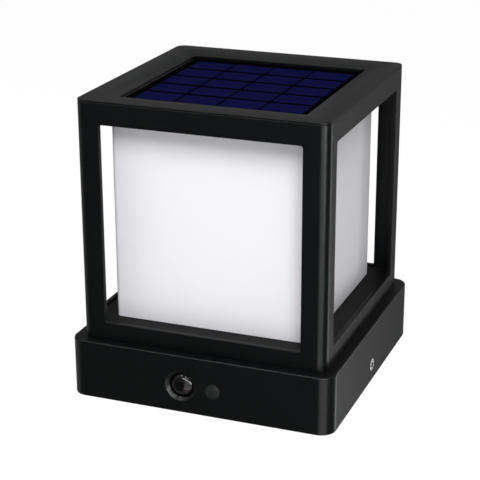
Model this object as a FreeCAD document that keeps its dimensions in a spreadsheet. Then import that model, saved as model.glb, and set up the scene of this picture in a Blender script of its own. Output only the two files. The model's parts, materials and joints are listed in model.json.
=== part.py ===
"""Solar post cap light: a square base that drops over a post, a four-window lantern
with an opal diffuser, and a lid that holds a solar panel.

Frame: millimetres, +Z up, -Y is the front with the motion sensor, and the origin is
the middle of the base's lower rim.
"""
import FreeCAD, Part
import math
import os
import Sketcher

document = FreeCAD.newDocument("post_cap_light")

# ---------------------------------------------------------------- driving dimensions

SIZES = [
    ("base_width", 160, "outer width of the square base"),
    ("base_height", 35, "height of the base skirt"),
    ("base_corner", 9, "radius of the base's upright corners"),
    ("base_wall", 3, "thickness of the skirt"),
    ("base_deck", 3, "thickness of the deck that carries the lantern"),
    ("base_edge", 1, "rounding of the deck's outer edge"),
    ("lantern_width", 147.5, "outer width of the lantern frame"),
    ("lantern_height", 142, "deck to the top of the lid"),
    ("lantern_corner", 5.5, "radius of the lantern's upright corners"),
    ("lantern_wall", 2.8, "thickness of the frame's walls"),
    ("stile_width", 14.5, "frame left beside each window"),
    ("top_rail", 13.6, "frame and lid above each window"),
    ("sill_rail", 10.6, "frame below each window"),
    ("window_corner", 1.5, "radius of the window corners"),
    ("flange_thickness", 2.5, "inner flanges at the foot and head of the frame"),
    ("corner_inset", 7.5, "lantern face to the screws in its corners"),
    ("foot_opening", 58, "half width of the hole in the foot flange"),
    ("lid_rim", 1.2, "part of the lid that shows above the seam"),
    ("lid_edge", 0.5, "rounding of the lid's outer edge"),
    ("rim_width", 9.2, "flat rim on top of the lid"),
    ("bevel_width", 9.6, "slope from the rim down to the panel"),
    ("bevel_drop", 1.6, "height lost over the slope"),
    ("panel_lip", 1.2, "slope's foot to the panel's face"),
    ("shelf_width", 8, "ledge that the panel lies on"),
    ("shelf_thickness", 1.8, "thickness of that ledge"),
    ("lid_seal_lip", 1, "lid gasket inside the diffuser's wall"),
    ("tape_thickness", 0.5, "adhesive under the panel"),
    ("backing_thickness", 2, "panel's backing board"),
    ("cell_thickness", 0.3, "solar cell"),
    ("cover_layer", 0.4, "clear layer over the cells"),
    ("cell_border_x", 5.3, "panel edge to the cells, left and right"),
    ("cell_border_y", 7.2, "panel edge to the cells, front and back"),
    ("cell_gap", 1.3, "black gap between columns of cells"),
    ("cell_row_gap", 3.4, "black gap between rows of cells"),
    ("diffuser_width", 118, "outer width of the opal diffuser"),
    ("diffuser_wall", 2, "thickness of the diffuser"),
    ("diffuser_corner", 2.5, "radius of the diffuser's upright corners"),
    ("tray_thickness", 2, "floor of the lantern"),
    ("tray_drop", 1.2, "window edge down to that floor"),
    ("slip", 0.3, "gap between nested pieces, and past a screw's tip"),
    ("snug_gap", 0.1, "gap round the panel, the sensor board and the side screws' heads"),
    ("seal_thickness", 1, "flat gasket"),
    ("thread_gap", 0.05, "radial gap left for a screw thread"),
    ("pilot_spare", 0.5, "pilot hole beyond its screw, or boss beyond its pilot hole"),
    ("weld", 0.5, "how far pieces of one moulding run into each other"),
    ("overrun", 1, "how far a cutting shape runs past what it cuts"),
    ("tip_gap", 0.1, "side screw's tip to the ear"),
    ("plate_clear", 6, "skirt that hangs past the post's top"),
    ("plate_thickness", 2, "steel of the mounting plate"),
    ("plate_depth", 96, "mounting plate, front to back"),
    ("ear_height", 11, "plate's upturned ears"),
    ("ear_depth", 30, "ears, front to back"),
    ("ear_gap", 5.5, "skirt's inside to the ears"),
    ("post_hole_x", 60, "post screw spacing, left to right"),
    ("post_hole_y", 60, "post screw spacing, front to back"),
    ("post_hole_radius", 2.75, "post screw hole"),
    ("side_screw_height", 10, "rim to the side screws"),
    ("side_screw_radius", 2, "side screw shank"),
    ("side_head_radius", 3.9, "side screw's flat head, flush with the skirt"),
    ("side_head_height", 1.9, "side screw's flat head"),
    ("side_socket_radius", 1.2, "side screw socket"),
    ("side_socket_depth", 1.3, "side screw socket"),
    ("insert_radius", 3.2, "brass insert for a side screw"),
    ("side_boss_radius", 6, "boss round a brass insert"),
    ("side_boss_length", 3.5, "boss round a brass insert"),
    ("dry_width", 112, "outer width of the dry box inside the base"),
    ("dry_corner", 8, "corner radius of the dry box"),
    ("dry_wall", 2, "thickness of the dry box"),
    ("deck_ledge", 4, "deck left inside the dry box"),
    ("cover_thickness", 2.5, "base cover"),
    ("boss_radius", 4, "screw boss"),
    ("cover_screw_inset", 6, "dry box face to the cover screws"),
    ("screw_radius", 1.5, "self-tapping screw shank"),
    ("screw_head_radius", 2.9, "self-tapping screw head"),
    ("screw_head_height", 1.8, "self-tapping screw head"),
    ("screw_bite", 5, "depth of thread in a boss"),
    ("sensor_height", 16, "rim to the sensor and the button"),
    ("sensor_offset", 10.3, "sensor to the left of the middle"),
    ("cone_flare", 2.1, "sensor's cone, its mouth beyond its foot"),
    ("cone_depth", 1.9, "skirt's face to the foot of that cone"),
    ("lens_radius", 6.7, "sensor lens"),
    ("lens_gap", 0.4, "dark gap round the lens"),
    ("lens_rise", 2.7, "height of the lens dome"),
    ("lens_skin", 1, "thickness of the lens"),
    ("lens_lip", 1.7, "lens flange beyond the dome"),
    ("can_radius", 4.6, "infra-red sensor can"),
    ("can_height", 4.2, "infra-red sensor can"),
    ("pod_gap", 0.2, "gap round the lens and the button inside the pod"),
    ("pod_depth", 15.5, "wall's inside to the pod's back"),
    ("pod_wall", 1.4, "thickness of the pod"),
    ("pod_seal", 0.8, "gasket between pod and skirt"),
    ("pod_board_depth", 11.8, "wall's inside to the sensor board"),
    ("board_thickness", 1.2, "circuit board"),
    ("pod_boss_length", 3.8, "boss for a pod screw"),
    ("button_offset", 9.8, "button to the right of the middle"),
    ("button_radius", 4.2, "mode button"),
    ("button_gap", 0.2, "gap round the mode button"),
    ("button_proud", 1, "button beyond the skirt"),
    ("button_crown", 1.1, "height of the button's crown"),
    ("button_flange", 1.4, "button's flange beyond its head"),
    ("button_flange_thickness", 1, "button's flange behind the skirt"),
    ("button_stem_radius", 1.5, "stem behind the button"),
    ("button_travel", 1.2, "how far the button goes in"),
    ("stem_gap", 0.1, "button's stem to the switch when it is pressed"),
    ("switch_width", 6, "tact switch"),
    ("switch_body", 3.6, "tact switch height"),
    ("switch_tip", 1.4, "tact switch plunger"),
    ("column_width", 30, "square column that carries the LEDs"),
    ("column_wall", 1.5, "thickness of the column"),
    ("column_foot", 46, "width of the column's foot"),
    ("strip_width", 12, "LED strip"),
    ("strip_length", 92, "LED strip"),
    ("strip_start", 12, "lantern floor to the LED strips"),
    ("led_width", 2.8, "LED package"),
    ("led_length", 3.5, "LED package"),
    ("led_height", 0.8, "LED package"),
    ("wire_hole_radius", 6, "hole in the lantern floor"),
    ("standoff_height", 5, "base cover to the main board"),
    ("standoff_radius", 3, "post under the main board"),
    ("board_half_length", 40, "main board, half of its length"),
    ("board_front", -46, "main board's front edge"),
    ("board_back", -12, "main board's back edge"),
    ("board_screw_inset", 4, "main board's edge to its screws"),
    ("connector_height", 6, "plug sockets on the main board"),
    ("socket_width", 8, "plug sockets, left to right"),
    ("socket_depth", 6, "plug sockets, front to back"),
    ("capacitor_radius", 4, "upright capacitor"),
    ("capacitor_height", 9, "upright capacitor"),
    ("capacitor_x", 27, "capacitor to the right of the middle"),
    ("capacitor_inset", 7, "main board's front edge to the capacitor"),
    ("battery_radius", 9.2, "lithium cell"),
    ("battery_length", 65, "lithium cell"),
    ("battery_spacing", 1.6, "front cell to back cell"),
    ("holder_front", 3.8, "middle to the battery holder's front"),
    ("holder_floor", 1.5, "battery holder under the cells"),
    ("holder_end", 3.5, "battery holder's end walls"),
    ("holder_side", 2, "battery holder's long walls"),
    ("holder_height", 11, "battery holder"),
    ("grommet_radius", 3, "rubber grommet in the dry box"),
    ("grommet_lip", 1, "grommet's lips"),
    ("lead_radius", 1, "two-core lead"),
    ("lead_bend", 6, "bend of a lead's middle line"),
    ("lead_straight", 1.6, "least straight stretch beside a bend"),
]

CELL_COLUMNS = 4
CELL_ROWS = 5
LEDS_PER_STRIP = 6

# name, x of the middle, board's front edge to the middle, width, depth and height
BOARD_CHIPS = (
    ("charge_chip", -28, 14, 8, 8, 1.6),
    ("control_chip", -4, 10, 10, 10, 1.6),
    ("coil", 14, 8, 8, 8, 4.5),
    ("small_chip", -24, 26, 6, 5, 1.6),
)

sheet = document.addObject("Spreadsheet::Sheet", "sizes")
for row, (alias, number, note) in enumerate(SIZES, start=1):
    sheet.set(f"A{row}", alias)
    sheet.set(f"B{row}", str(number))
    sheet.set(f"C{row}", note)
    sheet.setAlias(f"B{row}", alias)

# ------------------------------------------------------- places that follow from them

PLACES = [
    ("base_half", "sizes.base_width / 2"),
    ("skirt_inside", "base_half - sizes.base_wall"),
    ("deck_bottom", "sizes.base_height - sizes.base_deck"),
    ("plate_top", "sizes.plate_clear + sizes.plate_thickness"),
    ("ear_top", "sizes.plate_clear + sizes.ear_height"),
    ("ear_outside", "skirt_inside - sizes.ear_gap"),
    ("side_seat", "base_half - sizes.side_head_height"),
    ("cover_top", "plate_top + sizes.cover_thickness"),
    ("dry_bottom", "cover_top + sizes.seal_thickness"),
    ("dry_inside", "sizes.dry_width / 2 - sizes.dry_wall"),
    ("cover_screw", "sizes.dry_width / 2 - sizes.cover_screw_inset"),
    ("lantern_half", "sizes.lantern_width / 2"),
    ("frame_inside", "lantern_half - sizes.lantern_wall"),
    ("corner_screw", "lantern_half - sizes.corner_inset"),
    ("flange_bottom", "sizes.base_height + sizes.seal_thickness"),
    ("flange_top", "flange_bottom + sizes.flange_thickness"),
    ("window_low", "sizes.base_height + sizes.sill_rail"),
    ("tray_top", "window_low - sizes.tray_drop"),
    ("tray_bottom", "tray_top - sizes.tray_thickness"),
    ("top", "sizes.base_height + sizes.lantern_height"),
    ("window_high", "top - sizes.top_rail"),
    ("lid_seam", "top - sizes.lid_rim"),
    ("panel_half", "lantern_half - sizes.rim_width - sizes.bevel_width"),
    ("panel_face", "top - sizes.bevel_drop - sizes.panel_lip"),
    ("backing_top", "panel_face - sizes.cover_layer - sizes.cell_thickness"),
    ("backing_bottom", "backing_top - sizes.backing_thickness"),
    ("shelf_top", "backing_bottom - sizes.tape_thickness"),
    ("lid_bottom", "shelf_top - sizes.shelf_thickness"),
    ("head_top", "lid_bottom - sizes.seal_thickness"),
    ("head_bottom", "head_top - sizes.flange_thickness"),
    ("diffuser_half", "sizes.diffuser_width / 2"),
    ("column_top", "head_bottom - sizes.flange_thickness"),
    ("column_screw", "sizes.column_foot / 2 - sizes.boss_radius"),
    ("wall_inside", "sizes.base_wall - base_half"),
    ("lens_back", "wall_inside + sizes.lens_skin"),
    ("lens_flange", "sizes.lens_radius + sizes.lens_lip"),
    ("lens_hole", "sizes.lens_radius + sizes.lens_gap"),
    ("cone_foot", "sizes.cone_depth - base_half"),
    ("lens_tip", "cone_foot - sizes.lens_rise"),
    ("pod_side", "sizes.pod_gap + sizes.pod_wall"),
    ("pod_left", "-sizes.sensor_offset - lens_flange - pod_side"),
    ("pod_right", "sizes.button_offset + sizes.button_radius + sizes.button_flange + pod_side"),
    ("pod_low", "sizes.sensor_height - lens_flange - pod_side"),
    ("pod_high", "sizes.sensor_height + lens_flange + pod_side"),
    ("pod_front", "wall_inside + sizes.pod_seal"),
    ("pod_back", "wall_inside + sizes.pod_depth"),
    ("pod_board", "wall_inside + sizes.pod_board_depth"),
    ("pod_ear", "2 * sizes.boss_radius + sizes.slip"),
    ("switch_front", "pod_board - sizes.switch_body - sizes.switch_tip"),
    ("board_bottom", "cover_top + sizes.standoff_height"),
    ("board_top", "board_bottom + sizes.board_thickness"),
    ("socket_top", "board_top + sizes.connector_height"),
    ("lead_level", "board_top + sizes.connector_height / 2"),
    ("sensor_lead_x", "-sizes.board_half_length / 2"),
    ("lead_crossing", "socket_top + sizes.lead_bend + sizes.lead_straight"),
    ("battery_axis", "cover_top + sizes.holder_floor + sizes.battery_radius"),
    ("battery_front", "sizes.holder_front + sizes.holder_side + sizes.battery_radius"),
    ("battery_back", "battery_front + 2 * sizes.battery_radius + sizes.battery_spacing"),
]

places = document.addObject("Spreadsheet::Sheet", "places")
for row, (alias, formula) in enumerate(PLACES, start=1):
    places.set(f"A{row}", alias)
    places.set(f"B{row}", "=" + formula)
    places.setAlias(f"B{row}", alias)
document.recompute()


def size(expression):
    """The number that an expression over the two sheets comes to."""
    return float(sheet.evalExpression(expression))


# ------------------------------------------------------------------- building blocks

SAME = 1e-6
subparts = {}
TURN = {
    "x": FreeCAD.Rotation(FreeCAD.Vector(0, 1, 0), 90),
    "y": FreeCAD.Rotation(FreeCAD.Vector(1, 0, 0), -90),
    "z": FreeCAD.Rotation(),
}


def subpart(label, thing):
    """Give a finished piece its own name."""
    thing.Label = label
    subparts[label] = thing


def place(thing, spot):
    """Bind a piece's position, one expression for each axis in spot."""
    for axis, expression in spot.items():
        thing.setExpression(f"Placement.Base.{axis}", expression)


def box(name, x, y, z):
    """A block between a low and a high expression on each axis."""
    block = document.addObject("Part::Box", name)
    for side, (low, high) in zip(("Length", "Width", "Height"), (x, y, z)):
        block.setExpression(side, f"({high}) - ({low})")
    place(block, {"x": x[0], "y": y[0], "z": z[0]})
    return block


def rod(name, axis, radius, along, across):
    """A cylinder between the two expressions along; across gives its other two places."""
    cylinder = document.addObject("Part::Cylinder", name)
    cylinder.Placement.Rotation = TURN[axis]
    cylinder.setExpression("Radius", radius)
    cylinder.setExpression("Height", f"({along[1]}) - ({along[0]})")
    place(cylinder, {axis: along[0], **across})
    return cylinder


def cone(name, axis, radii, along, across):
    """A cone with one radius at each end of along."""
    frustum = document.addObject("Part::Cone", name)
    frustum.Placement.Rotation = TURN[axis]
    frustum.setExpression("Radius1", radii[0])
    frustum.setExpression("Radius2", radii[1])
    frustum.setExpression("Height", f"({along[1]}) - ({along[0]})")
    place(frustum, {axis: along[0], **across})
    return frustum


def ball(name, radius, spot):
    """A sphere about a point."""
    sphere = document.addObject("Part::Sphere", name)
    sphere.setExpression("Radius", radius)
    place(sphere, spot)
    return sphere


def joined(name, things):
    """Pieces melted into one solid."""
    fusion = document.addObject("Part::MultiFuse", name)
    fusion.Shapes = things
    fusion.Refine = True
    return fusion


def overlap(name, first, second):
    """What two solids share."""
    common = document.addObject("Part::Common", name)
    common.Base = first
    common.Tool = second
    return common


def group(name, things):
    """Separate solids of one kind, kept together."""
    compound = document.addObject("Part::Compound", name)
    compound.Links = things
    return compound


def carved(name, stock, tools):
    """Stock with every tool cut out of it."""
    difference = document.addObject("Part::Cut", name)
    difference.Base = stock
    difference.Tool = tools[0] if len(tools) == 1 else group(name + "_tools", tools)
    return difference


def corners(across, deep=None):
    """The four corners of a square, or of a rectangle, as names and signed expressions."""
    for tag, right, back in (("a", -1, -1), ("b", 1, -1), ("c", 1, 1), ("d", -1, 1)):
        yield tag, {"x": f"{right} * {across}", "y": f"{back} * {deep or across}"}


def sketch_on(body, name, plane, height, shift="0"):
    """A sketch on one of the body's planes, height along its normal, shifted upright."""
    sketch = body.newObject("Sketcher::SketchObject", name)
    support = next(item for item in body.Origin.OriginFeatures if item.Role == plane)
    sketch.AttachmentSupport = (support, [""])
    sketch.MapMode = "FlatFace"
    sketch.setExpression("AttachmentOffset.Base.z", height)
    sketch.setExpression("AttachmentOffset.Base.y", shift)
    return sketch


def bind(sketch, name, constraint, expression):
    """Add a dimension to a sketch and tie it to an expression."""
    index = sketch.addConstraint(Sketcher.Constraint(*constraint, size(expression)))
    sketch.renameConstraint(index, name)
    sketch.setExpression(f"Constraints.{name}", expression)


def rectangle(sketch, name, width, height, corner=None):
    """Draw a rectangle about the sketch's origin, with round corners if corner is given."""
    right, up = size(width) / 2, size(height) / 2
    inset = size(corner) if corner else 0
    first = sketch.GeometryCount
    ends = [
        ((inset - right, -up), (right - inset, -up)),
        ((right, inset - up), (right, up - inset)),
        ((right - inset, up), (inset - right, up)),
        ((-right, up - inset), (-right, inset - up)),
    ]
    for start, end in ends:
        sketch.addGeometry(Part.LineSegment(FreeCAD.Vector(*start), FreeCAD.Vector(*end)))
    lines = [first + index for index in range(4)]
    arcs = [first + 4 + index for index in range(4)]
    middles = [(right - inset, inset - up), (right - inset, up - inset),
               (inset - right, up - inset), (inset - right, inset - up)]
    for index, middle in enumerate(middles if corner else []):
        circle = Part.Circle(FreeCAD.Vector(*middle), FreeCAD.Vector(0, 0, 1), inset)
        start, end = (index - 1) * math.pi / 2, index * math.pi / 2
        sketch.addGeometry(Part.ArcOfCircle(circle, start, end))
    for index in range(4):
        after = lines[(index + 1) % 4]
        if corner:
            sketch.addConstraint(Sketcher.Constraint("Tangent", lines[index], 2, arcs[index], 1))
            sketch.addConstraint(Sketcher.Constraint("Tangent", arcs[index], 2, after, 1))
        else:
            sketch.addConstraint(Sketcher.Constraint("Coincident", lines[index], 2, after, 1))
    for index, level in ((0, "Horizontal"), (1, "Vertical"), (2, "Horizontal"), (3, "Vertical")):
        sketch.addConstraint(Sketcher.Constraint(level, lines[index]))
    for arc in arcs[1:] if corner else []:
        sketch.addConstraint(Sketcher.Constraint("Equal", arcs[0], arc))
    sketch.addConstraint(Sketcher.Constraint("Symmetric", lines[0], 1, lines[2], 1, -1, 1))
    bind(sketch, name + "_width", ("DistanceX", lines[3], 1, lines[1], 1), width)
    bind(sketch, name + "_height", ("DistanceY", lines[0], 1, lines[2], 1), height)
    if corner:
        bind(sketch, name + "_corner", ("Radius", arcs[0]), corner)


def feature(body, kind, sketch, length, reverse=False):
    """Pad or pocket a sketch over a length, and see that it did something."""
    document.recompute()
    before = body.Shape.Volume if body.Tip and body.Tip != sketch else 0
    step = body.newObject("PartDesign::" + kind, sketch.Name + "_" + kind.lower())
    step.Profile = sketch
    step.setExpression("Length", length)
    step.Reversed = reverse
    body.Tip = step
    document.recompute()
    change = body.Shape.Volume - before
    if change * (-1 if kind == "Pocket" else 1) <= 0:
        raise RuntimeError(f"{step.Name} changed nothing")


def must_cut(body, name, before):
    """See that a cut took something away."""
    document.recompute()
    if body.Shape.Volume >= before:
        raise RuntimeError(f"{name} cut nothing")


def window_cut(body, name, plane):
    """Cut one pair of opposite windows right through the frame."""
    middle = "(places.window_low + places.window_high) / 2"
    sketch = sketch_on(body, name, plane, "0", middle)
    width = "sizes.lantern_width - 2 * sizes.stile_width"
    height = "places.window_high - places.window_low"
    rectangle(sketch, "opening", width, height, "sizes.window_corner")
    before = body.Shape.Volume
    cut = body.newObject("PartDesign::Pocket", name + "_pocket")
    cut.Profile = sketch
    cut.SideType = "Symmetric"
    cut.setExpression("Length", "2 * sizes.lantern_width")
    body.Tip = cut
    must_cut(body, name, before)


def round_edges(body, name, height, radius):
    """Round every edge of the body's last feature that lies at a height."""
    document.recompute()
    level = size(height)
    last = body.Tip
    names = [f"Edge{index}" for index, edge in enumerate(last.Shape.Edges, start=1)
             if edge.BoundBox.ZLength < SAME and abs(edge.BoundBox.ZMin - level) < SAME]
    fillet = body.newObject("PartDesign::Fillet", name)
    fillet.Base = (last, names)
    fillet.setExpression("Radius", radius)
    body.Tip = fillet
    document.recompute()


def square_ring(name, half, corner, hole_half, hole_corner, low, high):
    """A flat square ring with round corners, such as a gasket."""
    body = document.addObject("PartDesign::Body", name)
    sketch = sketch_on(body, name + "_outline", "XY_Plane", low)
    rectangle(sketch, "outer", f"2 * ({half})", f"2 * ({half})", corner)
    rectangle(sketch, "inner", f"2 * ({hole_half})", f"2 * ({hole_half})", hole_corner)
    feature(body, "Pad", sketch, f"({high}) - ({low})")
    return body


def square_plate(name, half, corner, low, high):
    """A flat square plate with round corners."""
    body = document.addObject("PartDesign::Body", name)
    sketch = sketch_on(body, name + "_outline", "XY_Plane", low)
    rectangle(sketch, "outer", f"2 * ({half})", f"2 * ({half})", corner)
    feature(body, "Pad", sketch, f"({high}) - ({low})")
    return body


def screw(name, axis, seat, reach, across, toward):
    """A pan-head screw: head behind the seat, shank reaching on in the direction toward."""
    head_end = f"({seat}) - ({toward}) * sizes.screw_head_height"
    tip = f"({seat}) + ({toward}) * ({reach})"
    head_span = (head_end, seat) if toward > 0 else (seat, head_end)
    shank_span = (seat, tip) if toward > 0 else (tip, seat)
    head = rod(name + "_head", axis, "sizes.screw_head_radius", head_span, across)
    shank = rod(name + "_shank", axis, "sizes.screw_radius", shank_span, across)
    return joined(name, [head, shank])


PILOT = "sizes.screw_radius + sizes.thread_gap"
CLEARANCE = "sizes.screw_radius + sizes.slip"

# ---------------------------------------------------------------------- mounting plate


def mounting_plate():
    """Steel plate for the post's top, with an upturned ear at each side."""
    half_depth = "sizes.plate_depth / 2"
    plate = box("plate_flat", ("-places.ear_outside", "places.ear_outside"),
                ("-" + half_depth, half_depth), ("sizes.plate_clear", "places.plate_top"))
    inner = "(places.ear_outside - sizes.plate_thickness)"
    spans = {
        "left": ("-places.ear_outside", "-" + inner),
        "right": (inner, "places.ear_outside"),
    }
    ears = [box("plate_ear_" + side, span, ("-sizes.ear_depth / 2", "sizes.ear_depth / 2"),
                ("sizes.plate_clear", "places.ear_top")) for side, span in spans.items()]
    span = ("sizes.plate_clear - sizes.overrun", "places.plate_top + sizes.overrun")
    holes = [rod("post_hole_" + tag, "z", "sizes.post_hole_radius", span, spot)
             for tag, spot in corners("sizes.post_hole_x / 2", "sizes.post_hole_y / 2")]
    subpart("mounting_plate", carved("plate_cut", joined("plate_bent", [plate] + ears), holes))


# ------------------------------------------------------------------------------- base


def base_housing():
    """Skirt and deck in one moulding, with the dry box's walls and the bosses inside."""
    body = document.addObject("PartDesign::Body", "base_shell")
    outline = sketch_on(body, "base_outline", "XY_Plane", "0")
    rectangle(outline, "outer", "sizes.base_width", "sizes.base_width", "sizes.base_corner")
    feature(body, "Pad", outline, "sizes.base_height")
    round_edges(body, "base_top_edge", "sizes.base_height", "sizes.base_edge")
    hollow = sketch_on(body, "base_hollow", "XY_Plane", "0")
    rectangle(hollow, "inner", "2 * places.skirt_inside", "2 * places.skirt_inside",
              "sizes.base_corner - sizes.base_wall")
    feature(body, "Pocket", hollow, "places.deck_bottom", reverse=True)
    dry = sketch_on(body, "dry_box_walls", "XY_Plane", "places.dry_bottom")
    rectangle(dry, "outer", "sizes.dry_width", "sizes.dry_width", "sizes.dry_corner")
    rectangle(dry, "inner", "2 * places.dry_inside", "2 * places.dry_inside",
              "sizes.dry_corner - sizes.dry_wall")
    feature(body, "Pad", dry, "places.deck_bottom - places.dry_bottom")
    mouth = sketch_on(body, "deck_opening", "XY_Plane", "sizes.base_height")
    rectangle(mouth, "inner", "2 * (places.dry_inside - sizes.deck_ledge)",
              "2 * (places.dry_inside - sizes.deck_ledge)", "sizes.dry_corner")
    feature(body, "Pocket", mouth, "sizes.base_deck")

    added, removed = [body], []
    for tag, spot in corners("places.cover_screw"):
        added.append(rod("cover_boss_" + tag, "z", "sizes.boss_radius",
                         ("places.dry_bottom", "places.deck_bottom"), spot))
        removed.append(rod("cover_pilot_" + tag, "z", PILOT,
                           ("places.dry_bottom - sizes.overrun",
                            "places.dry_bottom + sizes.screw_bite + sizes.pilot_spare"), spot))
    for tag, spot in corners("places.corner_screw"):
        removed.append(rod("deck_hole_" + tag, "z", CLEARANCE,
                           ("places.deck_bottom - sizes.overrun",
                            "sizes.base_height + sizes.overrun"), spot))
    level = {"y": "0", "z": "sizes.side_screw_height"}
    boss_start = "places.skirt_inside - sizes.side_boss_length"
    for side, sign in (("left", -1), ("right", 1)):
        low, high = boss_start, "places.base_half - sizes.base_wall / 2"
        inner, outer = f"{boss_start} - sizes.overrun", "places.base_half + sizes.overrun"
        spans = [(low, high), (inner, outer), ("places.side_seat", outer)]
        if sign < 0:
            spans = [(f"-({end})", f"-({start})") for start, end in spans]
        added.append(rod("side_boss_" + side, "x", "sizes.side_boss_radius", spans[0], level))
        removed.append(rod("side_bore_" + side, "x", "sizes.insert_radius", spans[1], level))
        removed.append(rod("side_sink_" + side, "x", "sizes.side_head_radius + sizes.snug_gap",
                           spans[2], level))

    front = {"z": "sizes.sensor_height"}
    at_sensor = {"x": "-sizes.sensor_offset", **front}
    removed.append(cone("sensor_cone", "y",
                        ("places.lens_hole + sizes.cone_flare", "places.lens_hole"),
                        ("-places.base_half", "places.cone_foot"), at_sensor))
    removed.append(rod("sensor_hole", "y", "places.lens_hole",
                       ("places.cone_foot - sizes.weld", "places.wall_inside + sizes.overrun"),
                       at_sensor))
    removed.append(rod("button_hole", "y", "sizes.button_radius + sizes.button_gap",
                       ("-places.base_half - sizes.overrun", "places.wall_inside + sizes.overrun"),
                       {"x": "sizes.button_offset", **front}))
    for side, middle in pod_screw_places().items():
        spot = {"x": middle, **front}
        boss_end = "places.wall_inside + sizes.pod_boss_length"
        added.append(rod("pod_boss_" + side, "y", "sizes.boss_radius",
                         ("places.wall_inside - sizes.base_wall / 2", boss_end), spot))
        removed.append(rod("pod_pilot_" + side, "y", PILOT,
                           ("places.wall_inside", boss_end + " + sizes.overrun"), spot))
    removed.append(rod("grommet_hole", "y", "sizes.grommet_radius",
                       ("-sizes.dry_width / 2 - sizes.overrun",
                        "-places.dry_inside + sizes.overrun"),
                       {"x": "places.sensor_lead_x", "z": "places.lead_level"}))
    subpart("base_housing", carved("base_cut", joined("base_solid", added), removed))


def pod_screw_places():
    """Middles of the two screws that hold the sensor pod."""
    return {
        "left": "places.pod_left - places.pod_ear + sizes.boss_radius",
        "right": "places.pod_right + places.pod_ear - sizes.boss_radius",
    }


def base_cover():
    """Lid of the dry box: it rests on the mounting plate and carries board and cells."""
    half = "sizes.dry_width / 2"
    cover = square_plate("cover_plate", half, "sizes.dry_corner", "places.plate_top",
                         "places.cover_top")
    posts, holes, screws = [cover], [], []
    for tag, spot in corners("places.cover_screw"):
        sunk = ("places.plate_top", "places.plate_top + sizes.screw_head_height")
        radii = ("sizes.screw_head_radius", "sizes.screw_radius")
        holes.append(cone("cover_sink_" + tag, "z", radii, sunk, spot))
        holes.append(rod("cover_hole_" + tag, "z", CLEARANCE,
                         ("places.plate_top - sizes.overrun", "places.cover_top + sizes.overrun"),
                         spot))
        head = cone("cover_screw_head_" + tag, "z", radii, sunk, spot)
        shank = rod("cover_screw_shank_" + tag, "z", "sizes.screw_radius",
                    (sunk[0], "places.dry_bottom + sizes.screw_bite"), spot)
        screws.append(joined("cover_screw_" + tag, [head, shank]))
    for tag, spot in board_screw_spots():
        posts.append(rod("standoff_" + tag, "z", "sizes.standoff_radius",
                         ("places.cover_top - sizes.weld", "places.board_bottom"), spot))
        holes.append(rod("standoff_pilot_" + tag, "z", PILOT,
                         ("places.cover_top - sizes.overrun",
                          "places.board_bottom + sizes.overrun"), spot))
    subpart("base_cover", carved("cover_cut", joined("cover_solid", posts), holes))
    subpart("base_cover_screws", group("cover_screw_group", screws))

    ring = square_ring("cover_seal_ring", half, "sizes.dry_corner", "places.dry_inside",
                       "sizes.dry_corner - sizes.dry_wall", "places.cover_top",
                       "places.dry_bottom")
    subpart("base_cover_gasket", ring)


def board_screw_spots():
    """Where the main board's four screws stand."""
    reach = "(sizes.board_half_length - sizes.board_screw_inset)"
    front = "sizes.board_front + sizes.board_screw_inset"
    back = "sizes.board_back - sizes.board_screw_inset"
    for tag, sign, depth in (("a", -1, front), ("b", 1, front), ("c", 1, back), ("d", -1, back)):
        yield tag, {"x": f"{sign} * {reach}", "y": depth}


def side_screws():
    """Flush screws through the skirt, each in a brass insert, that grip the ears."""
    level = {"y": "0", "z": "sizes.side_screw_height"}
    tip = "places.ear_outside + sizes.tip_gap"
    seat, end = "places.side_seat", "places.base_half"
    inserts = []
    for side, sign in (("left", -1), ("right", 1)):
        shank, head = (tip, seat), (seat, end)
        socket = (f"{end} - sizes.side_socket_depth", f"{end} + sizes.overrun")
        bush = ("places.skirt_inside - sizes.side_boss_length", seat)
        if sign < 0:
            shank, head, socket, bush = [(f"-({high})", f"-({low})")
                                         for low, high in (shank, head, socket, bush)]
        solid = joined("side_screw_solid_" + side, [
            rod("side_shank_" + side, "x", "sizes.side_screw_radius", shank, level),
            rod("side_head_" + side, "x", "sizes.side_head_radius", head, level)])
        drive = rod("side_socket_" + side, "x", "sizes.side_socket_radius", socket, level)
        subpart("side_screw_" + side, carved("side_screw_cut_" + side, solid, [drive]))
        outer = rod("side_insert_outer_" + side, "x", "sizes.insert_radius", bush, level)
        bore = rod("side_insert_bore_" + side, "x", "sizes.side_screw_radius + sizes.thread_gap",
                   (f"{bush[0]} - sizes.overrun", f"{bush[1]} + sizes.overrun"), level)
        inserts.append(carved("side_insert_" + side, outer, [bore]))
    subpart("side_screw_inserts", group("side_insert_group", inserts))


# ------------------------------------------------------------------ sensor and button


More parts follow.
